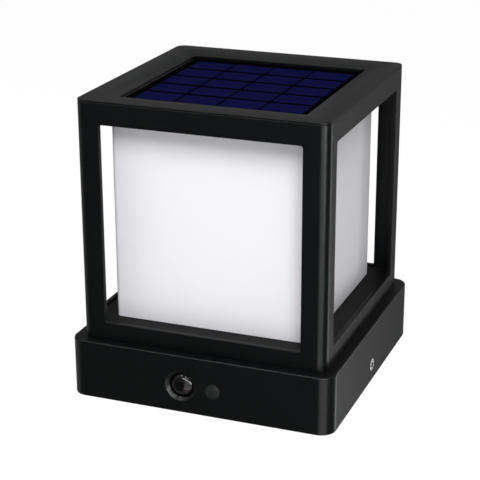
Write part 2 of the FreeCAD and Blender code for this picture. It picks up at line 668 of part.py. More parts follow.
def sensor_pod():
    """Sealed pod behind the skirt: lens, sensor can, board, switch and its two screws."""
    middle = {"x": "-sizes.sensor_offset", "z": "sizes.sensor_height"}
    dome = "((sizes.lens_radius ^ 2 + sizes.lens_rise ^ 2) / (2 * sizes.lens_rise))"
    centre = {**middle, "y": f"places.lens_tip + {dome}"}
    barrel = rod("lens_barrel", "y", "sizes.lens_radius", ("places.lens_tip", "places.lens_back"),
                 middle)
    cap = overlap("lens_cap", ball("lens_outside", dome, centre), barrel)
    flange = rod("lens_flange_disc", "y", "places.lens_flange",
                 ("places.wall_inside", "places.lens_back"), middle)
    round_inside = ball("lens_round_inside", f"{dome} - sizes.lens_skin", centre)
    bore = rod("lens_bore", "y", "sizes.lens_radius - sizes.lens_skin",
               ("places.lens_tip", "places.lens_back + sizes.overrun"), middle)
    inside = overlap("lens_inside", round_inside, bore)
    subpart("pir_lens", carved("lens_cut", joined("lens_solid", [cap, flange]), [inside]))

    can = rod("sensor_can", "y", "sizes.can_radius",
              ("places.pod_board - sizes.can_height", "places.pod_board"), middle)
    subpart("pir_sensor", can)

    outer = box("pod_block", ("places.pod_left", "places.pod_right"),
                ("places.pod_front", "places.pod_back"), ("places.pod_low", "places.pod_high"))
    mouth = "places.pod_front - sizes.overrun"
    front_room = pod_room("pod_front_room", "sizes.pod_wall", mouth,
                          "places.pod_board + sizes.board_thickness")
    back_room = pod_room("pod_back_room", "2 * sizes.pod_wall", mouth,
                         "places.pod_back - sizes.pod_wall")
    ear_front = "places.wall_inside + sizes.pod_boss_length"
    ear_back = "places.wall_inside + sizes.pod_boss_length + sizes.pod_wall"
    spans = {
        "left": ("places.pod_left - places.pod_ear", "places.pod_left"),
        "right": ("places.pod_right", "places.pod_right + places.pod_ear"),
    }
    ears, holes, screws = [], [front_room, back_room], []
    for side, where in pod_screw_places().items():
        spot = {"x": where, "z": "sizes.sensor_height"}
        ears.append(box("pod_ear_" + side, spans[side], (ear_front, ear_back),
                        ("sizes.sensor_height - sizes.boss_radius",
                         "sizes.sensor_height + sizes.boss_radius")))
        holes.append(rod("pod_ear_hole_" + side, "y", CLEARANCE,
                         (ear_front + " - sizes.overrun", ear_back + " + sizes.overrun"),
                         spot))
        screws.append(screw("pod_screw_" + side, "y", ear_back,
                            "sizes.pod_wall + sizes.pod_boss_length - sizes.slip", spot, -1))
    subpart("sensor_pod", carved("pod_cut", joined("pod_solid", [outer] + ears), holes))
    subpart("sensor_pod_screws", group("pod_screw_group", screws))

    ring = box("pod_seal_block", ("places.pod_left", "places.pod_right"),
               ("places.wall_inside", "places.pod_front"), ("places.pod_low", "places.pod_high"))
    hole = pod_room("pod_seal_hole", "sizes.pod_wall", "places.wall_inside - sizes.overrun",
                    "places.pod_front + sizes.overrun")
    subpart("sensor_pod_gasket", carved("pod_seal_cut", ring, [hole]))

    board = pod_room("pod_board_block", "sizes.pod_wall + sizes.snug_gap", "places.pod_board",
                     "places.pod_board + sizes.board_thickness")
    subpart("sensor_board", board)


def pod_room(name, wall, front, back):
    """A block inside the pod's walls, such as its hollow."""
    return box(name, (f"places.pod_left + {wall}", f"places.pod_right - ({wall})"),
               (front, back), (f"places.pod_low + {wall}", f"places.pod_high - ({wall})"))


def mode_button():
    """Crowned push button in the skirt, and the switch that its stem works."""
    middle = {"x": "sizes.button_offset", "z": "sizes.sensor_height"}
    face = "(-places.base_half - sizes.button_proud)"
    flange_back = "places.wall_inside + sizes.button_flange_thickness"
    crown = "((sizes.button_radius ^ 2 + sizes.button_crown ^ 2) / (2 * sizes.button_crown))"
    centre = {**middle, "y": f"{face} + {crown}"}
    barrel = rod("button_barrel", "y", "sizes.button_radius", (face, flange_back), middle)
    head = overlap("button_head", ball("button_crown_ball", crown, centre), barrel)
    flange = rod("button_flange_disc", "y", "sizes.button_radius + sizes.button_flange",
                 ("places.wall_inside", flange_back), middle)
    stem = rod("button_stem", "y", "sizes.button_stem_radius",
               ("places.wall_inside",
                "places.switch_front - sizes.button_travel - sizes.stem_gap"), middle)
    subpart("mode_button", joined("button_solid", [head, flange, stem]))

    half = "sizes.switch_width / 2"
    body = box("switch_block", (f"sizes.button_offset - {half}", f"sizes.button_offset + {half}"),
               ("places.pod_board - sizes.switch_body", "places.pod_board"),
               (f"sizes.sensor_height - {half}", f"sizes.sensor_height + {half}"))
    plunger = rod("switch_plunger", "y", "sizes.button_stem_radius",
                  ("places.switch_front", "places.pod_board - sizes.switch_body / 2"), middle)
    subpart("tact_switch", joined("switch_solid", [body, plunger]))


# ---------------------------------------------------------------------------- lantern


def lantern_frame():
    """Four corner posts, sills and top rails in one moulding, with two inner flanges."""
    body = document.addObject("PartDesign::Body", "frame_shell")
    outline = sketch_on(body, "frame_outline", "XY_Plane", "sizes.base_height")
    rectangle(outline, "outer", "sizes.lantern_width", "sizes.lantern_width",
              "sizes.lantern_corner")
    rectangle(outline, "inner", "2 * places.frame_inside", "2 * places.frame_inside",
              "sizes.lantern_corner - sizes.lantern_wall")
    feature(body, "Pad", outline, "places.lid_seam - sizes.base_height")
    rings = (
        ("foot_flange", "places.flange_bottom", "sizes.foot_opening"),
        ("head_flange", "places.head_bottom", "places.diffuser_half + sizes.slip"),
    )
    for name, low, opening in rings:
        ring = sketch_on(body, name, "XY_Plane", low)
        rectangle(ring, "outer", "2 * places.frame_inside + sizes.lantern_wall",
                  "2 * places.frame_inside + sizes.lantern_wall",
                  "sizes.lantern_corner - sizes.lantern_wall / 2")
        rectangle(ring, "inner", f"2 * ({opening})", f"2 * ({opening})", "sizes.diffuser_corner")
        feature(body, "Pad", ring, "sizes.flange_thickness")
    window_cut(body, "front_windows", "XZ_Plane")
    window_cut(body, "side_windows", "YZ_Plane")
    holes = []
    for tag, spot in corners("places.corner_screw"):
        holes.append(rod("foot_hole_" + tag, "z", CLEARANCE,
                         ("places.flange_bottom - sizes.overrun",
                          "places.flange_top + sizes.overrun"), spot))
        holes.append(rod("head_hole_" + tag, "z", CLEARANCE,
                         ("places.head_bottom - sizes.overrun",
                          "places.head_top + sizes.overrun"), spot))
    subpart("lantern_frame", carved("frame_cut", body, holes))

    gasket = square_ring("foot_seal_ring", "places.frame_inside - sizes.slip",
                         "sizes.lantern_corner - sizes.lantern_wall", "sizes.foot_opening",
                         "sizes.diffuser_corner", "sizes.base_height", "places.flange_bottom")
    gaps = [rod("foot_seal_hole_" + tag, "z", CLEARANCE,
                ("sizes.base_height - sizes.overrun",
                 "places.flange_bottom + sizes.overrun"), spot)
            for tag, spot in corners("places.corner_screw")]
    subpart("frame_gasket", carved("foot_seal_cut", gasket, gaps))


def floor_tray():
    """Floor of the lantern, clamped with the frame by screws that come up from the base."""
    plate = square_plate("tray_plate", "places.frame_inside - sizes.slip",
                         "sizes.lantern_corner - sizes.lantern_wall", "places.tray_bottom",
                         "places.tray_top")
    added, removed, screws = [plate], [], []
    pilot_end = "places.tray_top - sizes.seal_thickness"
    for tag, spot in corners("places.corner_screw"):
        added.append(rod("tray_boss_" + tag, "z", "sizes.boss_radius",
                         ("places.flange_top", "places.tray_bottom + sizes.weld"), spot))
        removed.append(rod("tray_pilot_" + tag, "z", PILOT,
                           ("places.flange_top - sizes.overrun", pilot_end), spot))
        screws.append(screw("frame_screw_" + tag, "z", "places.deck_bottom",
                            f"{pilot_end} - places.deck_bottom - sizes.slip", spot, 1))
    for tag, spot in corners("places.column_screw"):
        added.append(rod("column_boss_" + tag, "z", "sizes.boss_radius",
                         ("places.tray_top - sizes.screw_bite - sizes.pilot_spare",
                          "places.tray_bottom + sizes.weld"), spot))
        removed.append(rod("column_pilot_" + tag, "z", PILOT,
                           ("places.tray_top - sizes.screw_bite",
                            "places.tray_top + sizes.overrun"), spot))
    removed.append(rod("tray_wire_hole", "z", "sizes.wire_hole_radius",
                       ("places.tray_bottom - sizes.overrun", "places.tray_top + sizes.overrun"),
                       {"x": "0", "y": "0"}))
    groove_low = "places.tray_top - sizes.tape_thickness"
    groove = square_ring("tray_groove", "places.diffuser_half", "sizes.diffuser_corner",
                         "places.diffuser_half - sizes.diffuser_wall",
                         "sizes.diffuser_corner - sizes.diffuser_wall / 2",
                         groove_low, "places.tray_top + sizes.overrun")
    removed.append(groove)
    subpart("floor_tray", carved("tray_cut", joined("tray_solid", added), removed))
    subpart("frame_screws", group("frame_screw_group", screws))

    seal = square_ring("diffuser_seal_ring", "places.diffuser_half", "sizes.diffuser_corner",
                       "places.diffuser_half - sizes.diffuser_wall",
                       "sizes.diffuser_corner - sizes.diffuser_wall / 2",
                       groove_low, "places.tray_top")
    subpart("diffuser_seal", seal)


def diffuser():
    """Opal tube, square in plan, from the lantern floor to the lid's gasket."""
    tube = square_ring("diffuser_tube", "places.diffuser_half", "sizes.diffuser_corner",
                       "places.diffuser_half - sizes.diffuser_wall",
                       "sizes.diffuser_corner - sizes.diffuser_wall / 2",
                       "places.tray_top", "places.head_top")
    subpart("diffuser", tube)


def light_column():
    """Aluminium column with an LED strip on each face, screwed to the lantern floor."""
    half = "sizes.column_width / 2"
    hollow = f"({half} - sizes.column_wall)"
    foot = "sizes.column_foot / 2"
    foot_top = "places.tray_top + sizes.column_wall"
    tube = box("column_tube", (f"-{half}", half), (f"-{half}", half),
               ("places.tray_top", "places.column_top"))
    flange = box("column_flange", (f"-{foot}", foot), (f"-{foot}", foot),
                 ("places.tray_top", foot_top))
    bore = box("column_bore", (f"-{hollow}", hollow), (f"-{hollow}", hollow),
               ("places.tray_top - sizes.overrun", "places.column_top + sizes.overrun"))
    holes, screws = [bore], []
    for tag, spot in corners("places.column_screw"):
        holes.append(rod("column_hole_" + tag, "z", CLEARANCE,
                         ("places.tray_top - sizes.overrun", foot_top + " + sizes.overrun"), spot))
        screws.append(screw("column_screw_" + tag, "z", foot_top,
                            "sizes.column_wall + sizes.screw_bite - sizes.slip", spot, -1))
    solid = joined("column_solid", [tube, flange])
    subpart("light_column", carved("column_cut", solid, holes))
    subpart("light_column_screws", group("column_screw_group", screws))

    low = "places.tray_top + sizes.strip_start"
    strips, leds = [], []
    for side in ("front", "right", "back", "left"):
        out = (half, f"{half} + sizes.board_thickness")
        strips.append(on_side("strip_" + side, side, out,
                              ("-sizes.strip_width / 2", "sizes.strip_width / 2"),
                              (low, f"{low} + sizes.strip_length")))
        for index in range(LEDS_PER_STRIP):
            middle = f"({low} + sizes.strip_length * {index + 0.5} / {LEDS_PER_STRIP})"
            leds.append(on_side(f"led_{side}_{index}", side,
                                (out[1], f"{out[1]} + sizes.led_height"),
                                ("-sizes.led_length / 2", "sizes.led_length / 2"),
                                (f"{middle} - sizes.led_width / 2",
                                 f"{middle} + sizes.led_width / 2")))
    subpart("led_strips", group("strip_group", strips))
    subpart("led_chips", group("led_group", leds))


def on_side(name, side, out, along, z):
    """A block on one face of the column: out from the middle, along the face, and up."""
    flipped = (f"-({out[1]})", f"-({out[0]})")
    spans = {
        "front": (along, flipped),
        "back": (along, out),
        "left": (flipped, along),
        "right": (out, along),
    }
    return box(name, *spans[side], z)


# -------------------------------------------------------------------------------- lid


def top_cover():
    """Lid: flat rim, slope down to the panel, ledge under the panel, spigot below."""
    body = document.addObject("PartDesign::Body", "lid_shell")
    rim = sketch_on(body, "lid_outline", "XY_Plane", "places.lid_seam")
    rectangle(rim, "outer", "sizes.lantern_width", "sizes.lantern_width", "sizes.lantern_corner")
    feature(body, "Pad", rim, "sizes.lid_rim")
    round_edges(body, "lid_top_edge", "places.top", "sizes.lid_edge")
    spigot = sketch_on(body, "lid_spigot", "XY_Plane", "places.lid_bottom")
    width = "2 * (places.frame_inside - sizes.slip)"
    rectangle(spigot, "outer", width, width, "sizes.lantern_corner - sizes.lantern_wall")
    feature(body, "Pad", spigot, "places.lid_seam - places.lid_bottom")
    recess = sketch_on(body, "panel_recess", "XY_Plane", "places.top")
    rectangle(recess, "outer", "2 * places.panel_half", "2 * places.panel_half")
    feature(body, "Pocket", recess, "places.top - places.shelf_top")
    opening = sketch_on(body, "shelf_opening", "XY_Plane", "places.shelf_top")
    inner = "2 * (places.panel_half - sizes.shelf_width)"
    rectangle(opening, "outer", inner, inner)
    feature(body, "Pocket", opening, "sizes.shelf_thickness")

    upper = sketch_on(body, "bevel_top", "XY_Plane", "places.top")
    wide = "2 * (places.panel_half + sizes.bevel_width)"
    rectangle(upper, "outer", wide, wide)
    lower = sketch_on(body, "bevel_foot", "XY_Plane", "places.top - sizes.bevel_drop")
    rectangle(lower, "outer", "2 * places.panel_half", "2 * places.panel_half")
    document.recompute()
    before = body.Shape.Volume
    slope = body.newObject("PartDesign::SubtractiveLoft", "lid_bevel")
    slope.Profile = upper
    slope.Sections = [lower]
    slope.Ruled = True
    body.Tip = slope
    must_cut(body, "lid_bevel", before)

    holes, screws = [], []
    for tag, spot in corners("places.corner_screw"):
        holes.append(rod("lid_pilot_" + tag, "z", PILOT,
                         ("places.lid_bottom - sizes.overrun",
                          "places.lid_bottom + sizes.screw_bite"), spot))
        screws.append(screw("lid_screw_" + tag, "z", "places.head_bottom",
                            "sizes.flange_thickness + sizes.seal_thickness"
                            " + sizes.screw_bite - sizes.slip", spot, 1))
    subpart("top_cover", carved("lid_cut", body, holes))
    subpart("top_cover_screws", group("lid_screw_group", screws))

    gasket = square_ring("lid_seal_ring", "places.frame_inside - sizes.slip",
                         "sizes.lantern_corner - sizes.lantern_wall",
                         "places.diffuser_half - sizes.diffuser_wall - sizes.lid_seal_lip",
                         "sizes.diffuser_corner", "places.head_top", "places.lid_bottom")
    gaps = [rod("lid_seal_hole_" + tag, "z", CLEARANCE,
                ("places.head_top - sizes.overrun", "places.lid_bottom + sizes.overrun"), spot)
            for tag, spot in corners("places.corner_screw")]
    subpart("top_cover_gasket", carved("lid_seal_cut", gasket, gaps))


def solar_panel():
    """Backing board on a tape, with a grid of cells under a clear layer."""
    fit = "(places.panel_half - sizes.snug_gap)"
    tape = square_ring("tape_ring", fit, "sizes.slip",
                       "places.panel_half - sizes.shelf_width", "sizes.slip",
                       "places.shelf_top", "places.backing_bottom")
    subpart("panel_tape", tape)
    span = (f"-{fit}", fit)
    subpart("panel_backing", box("backing_block", span, span,
                                 ("places.backing_bottom", "places.backing_top")))
    across = "(2 * (places.panel_half - sizes.cell_border_x)"
    across += f" - {CELL_COLUMNS - 1} * sizes.cell_gap) / {CELL_COLUMNS}"
    deep = "(2 * (places.panel_half - sizes.cell_border_y)"
    deep += f" - {CELL_ROWS - 1} * sizes.cell_row_gap) / {CELL_ROWS}"
    cell_top = "places.backing_top + sizes.cell_thickness"
    cells, pits = [], []
    for column in range(CELL_COLUMNS):
        left = "sizes.cell_border_x - places.panel_half"
        left += f" + {column} * (({across}) + sizes.cell_gap)"
        for line in range(CELL_ROWS):
            front = "sizes.cell_border_y - places.panel_half"
            front += f" + {line} * (({deep}) + sizes.cell_row_gap)"
            spans = ((left, f"{left} + ({across})"), (front, f"{front} + ({deep})"))
            for kind, found in (("cell", cells), ("pit", pits)):
                found.append(box(f"{kind}_{column}_{line}", *spans,
                                 ("places.backing_top", cell_top)))
    subpart("solar_cells", group("cell_group", cells))
    layer = box("layer_block", span, span, ("places.backing_top", "places.panel_face"))
    subpart("panel_clear_layer", carved("layer_cut", layer, pits))


# ------------------------------------------------------------------------ electronics


def main_board():
    """Main board on its standoffs, with its parts and plug sockets."""
    half = "sizes.board_half_length"
    board = box("main_board_block", (f"-{half}", half), ("sizes.board_front", "sizes.board_back"),
                ("places.board_bottom", "places.board_top"))
    holes, screws = [], []
    for tag, spot in board_screw_spots():
        holes.append(rod("board_hole_" + tag, "z", CLEARANCE,
                         ("places.board_bottom - sizes.overrun",
                          "places.board_top + sizes.overrun"), spot))
        screws.append(screw("board_screw_" + tag, "z", "places.board_top",
                            "sizes.board_thickness + sizes.standoff_height - sizes.slip",
                            spot, -1))
    subpart("main_board", carved("board_cut", board, holes))
    subpart("main_board_screws", group("board_screw_group", screws))

    parts = []
    for name, x, inset, wide, deep, tall in BOARD_CHIPS:
        front, back = inset - deep / 2, inset + deep / 2
        parts.append(box(name, (f"{x - wide / 2}", f"{x + wide / 2}"),
                         (f"sizes.board_front + {front}", f"sizes.board_front + {back}"),
                         ("places.board_top", f"places.board_top + {tall}")))
    for name, spot in socket_middles().items():
        wide, deep = "sizes.socket_width / 2", "sizes.socket_depth / 2"
        parts.append(box(name, (f"{spot['x']} - {wide}", f"{spot['x']} + {wide}"),
                         (f"{spot['y']} - {deep}", f"{spot['y']} + {deep}"),
                         ("places.board_top", "places.socket_top")))
    parts.append(rod("capacitor", "z", "sizes.capacitor_radius",
                     ("places.board_top", "places.board_top + sizes.capacitor_height"),
                     {"x": "sizes.capacitor_x",
                      "y": "sizes.board_front + sizes.capacitor_inset"}))
    subpart("board_components", group("component_group", parts))


def socket_middles():
    """Middles of the main board's plug sockets."""
    return {
        "sensor_socket": {"x": "places.sensor_lead_x",
                          "y": "(sizes.board_front + sizes.board_screw_inset)"},
        "solar_socket": {"x": "0", "y": "(sizes.board_back - sizes.socket_width)"},
        "led_socket": {"x": "(2 * sizes.socket_width)",
                       "y": "(sizes.board_back - sizes.socket_width)"},
        "battery_socket": {"x": "(sizes.board_half_length - sizes.socket_width / 2)",
                           "y": "((sizes.board_front + sizes.board_back) / 2)"},
    }


def battery():
    """Two lithium cells in an open holder on the base cover."""
    half = "sizes.battery_length / 2"
    rows = {"front": "places.battery_front", "back": "places.battery_back"}
    reach = "(sizes.battery_radius + sizes.holder_side)"
    block = box("holder_block", (f"-{half} - sizes.holder_end", f"{half} + sizes.holder_end"),
                ("sizes.holder_front", f"places.battery_back + {reach}"),
                ("places.cover_top", "places.cover_top + sizes.holder_height"))
    cells, troughs = [], []
    for name, middle in rows.items():
        for kind, found in (("cell", cells), ("trough", troughs)):
            found.append(rod(f"battery_{kind}_{name}", "x", "sizes.battery_radius",
                             (f"-{half}", half), {"y": middle, "z": "places.battery_axis"}))
    subpart("battery_holder", carved("holder_cut", block, troughs))
    subpart("battery_cells", group("battery_group", cells))


def grommet():
    """Rubber grommet where the sensor's lead enters the dry box."""
    spot = {"x": "places.sensor_lead_x", "z": "places.lead_level"}
    outside, inside = "-sizes.dry_width / 2", "-places.dry_inside"
    neck = rod("grommet_neck", "y", "sizes.grommet_radius", (outside, inside), spot)
    lips = [
        rod("grommet_lip_out", "y", "sizes.grommet_radius + sizes.grommet_lip",
            (f"{outside} - sizes.grommet_lip", outside), spot),
        rod("grommet_lip_in", "y", "sizes.grommet_radius + sizes.grommet_lip",
            (inside, f"{inside} + sizes.grommet_lip"), spot),
    ]
    ends = (f"{outside} - sizes.grommet_lip - sizes.overrun",
            f"{inside} + sizes.grommet_lip + sizes.overrun")
    bore = rod("grommet_bore", "y", "sizes.lead_radius + sizes.thread_gap", ends, spot)
    subpart("wire_grommet", carved("grommet_cut", joined("grommet_solid", [neck] + lips), [bore]))


def lead(label, points):
    """A round lead along straight runs that are joined by arcs of the lead's bend."""
    stops = [FreeCAD.Vector(*point) for point in points]
    bend, radius = size("sizes.lead_bend"), size("sizes.lead_radius")
    edges, start = [], stops[0]
    for before, corner, after in zip(stops, stops[1:], stops[2:]):
        inward = (corner - before).normalize()
        outward = (after - corner).normalize()
        bisector = (outward - inward).normalize()
        half_turn = inward.getAngle(outward) / 2
        setback = bend * math.tan(half_turn)
        rise = bend / math.cos(half_turn) - bend
        enter, leave = corner - inward * setback, corner + outward * setback
        edges.append(Part.LineSegment(start, enter).toShape())
        edges.append(Part.Arc(enter, corner + bisector * rise, leave).toShape())
        start = leave
    edges.append(Part.LineSegment(start, stops[-1]).toShape())
    path = Part.Wire(edges)
    direction = stops[1] - stops[0]
    section = Part.Wire(Part.makeCircle(radius, stops[0], direction))
    tube = document.addObject("Part::Feature", label + "_tube")
    tube.Shape = path.makePipeShell([section], True, False)
    tube.Placement = FreeCAD.Placement()
    subpart(label, tube)


def leads():
    """Leads from the panel, the LEDs, the cells and the sensor pod to the main board."""
    middle = {name: (size(spot["x"]), size(spot["y"])) for name, spot in socket_middles().items()}
    socket_top = size("places.socket_top")
    level = size("places.lead_level")
    crossing = size("places.lead_crossing")
    x, y = middle["solar_socket"]
    lead("solar_lead", [(0, 0, size("places.backing_bottom")), (0, 0, crossing),
                        (x, y, crossing), (x, y, socket_top)])
    x, y = middle["led_socket"]
    wall = size("sizes.column_width / 2 - sizes.column_wall")
    drop = size("sizes.wire_hole_radius / 2 + sizes.lead_radius / 2")
    high = size("places.tray_top + sizes.strip_start")
    lead("led_lead", [(wall, 0, high), (drop, 0, high), (drop, 0, crossing),
                      (x, y, crossing), (x, y, socket_top)])
    x, y = middle["battery_socket"]
    end = size("sizes.battery_length / 2 + sizes.holder_end")
    out = size("sizes.board_half_length + sizes.lead_bend + sizes.lead_straight")
    cells = size("(places.battery_front + places.battery_back) / 2")
    lead("battery_lead", [(end, cells, level), (out, cells, level), (out, y, level),
                          (x + size("sizes.socket_width") / 2, y, level)])
    x, y = middle["sensor_socket"]
    lead("sensor_lead", [(x, size("places.pod_back"), level),
                         (x, y - size("sizes.socket_depth") / 2, level)])


# ---------------------------------------------------------------------- build and write

mounting_plate()
base_housing()
base_cover()
side_screws()
sensor_pod()
mode_button()
lantern_frame()
floor_tray()
diffuser()
light_column()
top_cover()
solar_panel()
main_board()
battery()
grommet()
leads()
document.recompute()

for item in document.Objects:
    if "Invalid" in item.State or "Error" in item.State:
        raise RuntimeError(f"{item.Label} failed: {item.State}")
for label, piece in subparts.items():
    if piece.Shape.isNull() or not piece.Shape.isValid():
        raise RuntimeError(f"{label} has no valid shape")

os.makedirs("parts", exist_ok=True)
for label, piece in subparts.items():
    piece.Shape.exportStep(f"parts/{label}.step")
print(len(subparts), "pieces written")
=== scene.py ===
"""Looks of the solar post cap light, built round its CAD frame.

Metres, +Z up, -Y is the front with the motion sensor, and the origin is the middle of
the base's lower rim. Sizes come from the frame's boxes wherever it has them.
"""
import json
import math

import bmesh
import bpy
from mathutils import Matrix, Vector

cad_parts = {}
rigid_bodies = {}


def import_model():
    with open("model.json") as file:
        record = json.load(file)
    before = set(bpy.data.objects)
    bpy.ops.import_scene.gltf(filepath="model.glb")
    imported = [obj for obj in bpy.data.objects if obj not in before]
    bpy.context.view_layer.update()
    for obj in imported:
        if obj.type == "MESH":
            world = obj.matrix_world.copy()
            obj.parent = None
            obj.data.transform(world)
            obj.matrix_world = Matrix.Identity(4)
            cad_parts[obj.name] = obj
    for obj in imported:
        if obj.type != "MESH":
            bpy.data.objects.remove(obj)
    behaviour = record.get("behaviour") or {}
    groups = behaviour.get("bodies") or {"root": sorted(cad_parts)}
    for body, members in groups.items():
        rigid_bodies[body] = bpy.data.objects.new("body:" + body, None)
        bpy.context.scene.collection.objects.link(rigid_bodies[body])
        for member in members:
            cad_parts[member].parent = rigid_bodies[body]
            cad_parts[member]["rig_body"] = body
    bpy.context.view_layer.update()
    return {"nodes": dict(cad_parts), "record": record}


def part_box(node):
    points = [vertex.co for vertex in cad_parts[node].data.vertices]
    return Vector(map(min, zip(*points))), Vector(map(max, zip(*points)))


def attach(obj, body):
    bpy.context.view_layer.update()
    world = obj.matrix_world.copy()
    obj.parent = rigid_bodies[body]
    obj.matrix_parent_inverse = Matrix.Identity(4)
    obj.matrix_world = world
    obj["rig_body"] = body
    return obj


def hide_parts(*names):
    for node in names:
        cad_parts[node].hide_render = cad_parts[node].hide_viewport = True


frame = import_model()

MM = 0.001


def middle_of(low, high):
    """The middle of a box."""
    return (Vector(low) + Vector(high)) / 2


# ------------------------------------------------------------------------ materials


def add_node(tree, kind, **values):
    """A shader node with its inputs set by name."""
    node = tree.nodes.new(kind)
    for name, value in values.items():
        node.inputs[name].default_value = value
    return node


def maths(tree, operation, first, second):
    """A sum of that kind; the first value is a socket, the second a socket or a float."""
    node = tree.nodes.new("ShaderNodeMath")
    node.operation = operation
    tree.links.new(first, node.inputs[0])
    if isinstance(second, float):
        node.inputs[1].default_value = second
    else:
        tree.links.new(second, node.inputs[1])
    return node.outputs[0]


def blended(tree, first, second, factor):
    """A mix of two colours by a socket; each is a linear colour or a socket."""
    mix = tree.nodes.new("ShaderNodeMix")
    mix.data_type = "RGBA"
    for name, colour in (("A", first), ("B", second)):
        if isinstance(colour, tuple):
            mix.inputs[name].default_value = (*colour, 1)
        else:
            tree.links.new(colour, mix.inputs[name])
    tree.links.new(factor, mix.inputs["Factor"])
    return mix.outputs["Result"]


def finish(name, tones, tone_scale, roughness, grain=None, **shader):
    """A procedural finish: two tones in a noise, a roughness range, and a grain as bump.

    tones are linear colours, tone_scale and the grain's scale are per metre, roughness is
    its least and greatest value, and grain is (scale, height). What is in shader goes
    straight on the shader's own sockets.
    """
    material = bpy.data.materials.new(name)
    material.use_nodes = True
    tree = material.node_tree
    surface = tree.nodes["Principled BSDF"]
    for socket, value in shader.items():
        surface.inputs[socket.replace("_", " ")].default_value = value
    place = tree.nodes.new("ShaderNodeTexCoord").outputs["Object"]

    clouds = add_node(tree, "ShaderNodeTexNoise", Scale=tone_scale, Detail=3.0)
    tree.links.new(place, clouds.inputs["Vector"])
    tree.links.new(blended(tree, *tones, clouds.outputs["Fac"]), surface.inputs["Base Color"])

    polish = tree.nodes.new("ShaderNodeMapRange")
    polish.inputs["To Min"].default_value = roughness[0]
    polish.inputs["To Max"].default_value = roughness[1]
    tree.links.new(clouds.outputs["Fac"], polish.inputs["Value"])
    tree.links.new(polish.outputs["Result"], surface.inputs["Roughness"])

    if grain:
        scale, height = grain
        fine = add_node(tree, "ShaderNodeTexNoise", Scale=scale, Detail=2.0)
        tree.links.new(place, fine.inputs["Vector"])
        bump = add_node(tree, "ShaderNodeBump", Strength=1.0, Distance=height)
        tree.links.new(fine.outputs["Fac"], bump.inputs["Height"])
        tree.links.new(bump.outputs["Normal"], surface.inputs["Normal"])
    return material


def over_colour(material, colour, mask):
    """Lay a colour over a finish where a mask, made from its place, lets it through."""
    tree = material.node_tree
    base = tree.nodes["Principled BSDF"].inputs["Base Color"]
    under = base.links[0].from_socket
    place = tree.nodes.new("ShaderNodeTexCoord").outputs["Object"]
    tree.links.new(blended(tree, under, colour, mask(tree, place)), base)
    return material


def near(spot, radius, full=0.0):
    """A mask that is whole out to the distance full from a spot, and fades to a radius."""
    def mask(tree, place):
        apart = tree.nodes.new("ShaderNodeVectorMath")
        apart.operation = "DISTANCE"
        apart.inputs[1].default_value = spot
        tree.links.new(place, apart.inputs[0])
        fade = tree.nodes.new("ShaderNodeMapRange")
        fade.interpolation_type = "SMOOTHSTEP"
        fade.inputs["From Min"].default_value = full
        fade.inputs["From Max"].default_value = radius
        fade.inputs["To Min"].default_value = 1.0
        fade.inputs["To Max"].default_value = 0.0
        tree.links.new(apart.outputs["Value"], fade.inputs["Value"])
        return fade.outputs["Result"]
    return mask


FINGER_PITCH = 1.6 * MM
FINGER_WIDTH = 0.10 * MM
FINGER_SHOWS = 0.25


def cell_fingers(tree, place):
    """A mask of the cells' fine conductors, which run front to back."""
    apart = tree.nodes.new("ShaderNodeSeparateXYZ")
    tree.links.new(place, apart.inputs[0])
    line = tree.nodes.new("ShaderNodeMapRange")
    line.inputs["From Min"].default_value = FINGER_WIDTH / 2
    line.inputs["From Max"].default_value = FINGER_WIDTH
    line.inputs["To Min"].default_value = FINGER_SHOWS
    line.inputs["To Max"].default_value = 0.0
    tree.links.new(maths(tree, "PINGPONG", apart.outputs["X"], FINGER_PITCH / 2),
                   line.inputs["Value"])
    return line.outputs["Result"]


SOCKET_MIDDLE = 1.0 * MM
SOCKET_SHADE = 1.8 * MM
SOCKET_SHADE_END = 1.98 * MM


def socket_shade(tree, place):
    """A mask of painted shade in the sockets of both side screws' heads, round a spot inside
    each.
    """
    shades = []
    for node_name, out in (("side_screw_left", -1), ("side_screw_right", 1)):
        low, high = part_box(node_name)
        spot = middle_of(low, high)
        spot.x = out * (max(low[0] * out, high[0] * out) - SOCKET_MIDDLE)
        shades.append(near(spot, SOCKET_SHADE_END, SOCKET_SHADE)(tree, place))
    return maths(tree, "MAXIMUM", *shades)


EYE_RIGHT = 4 * MM
EYE_DOWN = 2 * MM
EYE_RADIUS = 3.4 * MM


def lens_eye(tree, place):
    """A mask of the sensor's eye, which shows faintly behind the right of its lens."""
    low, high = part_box("pir_lens")
    middle = middle_of(low, high)
    return near((middle.x + EYE_RIGHT, low[1], middle.z - EYE_DOWN), EYE_RADIUS)(tree, place)


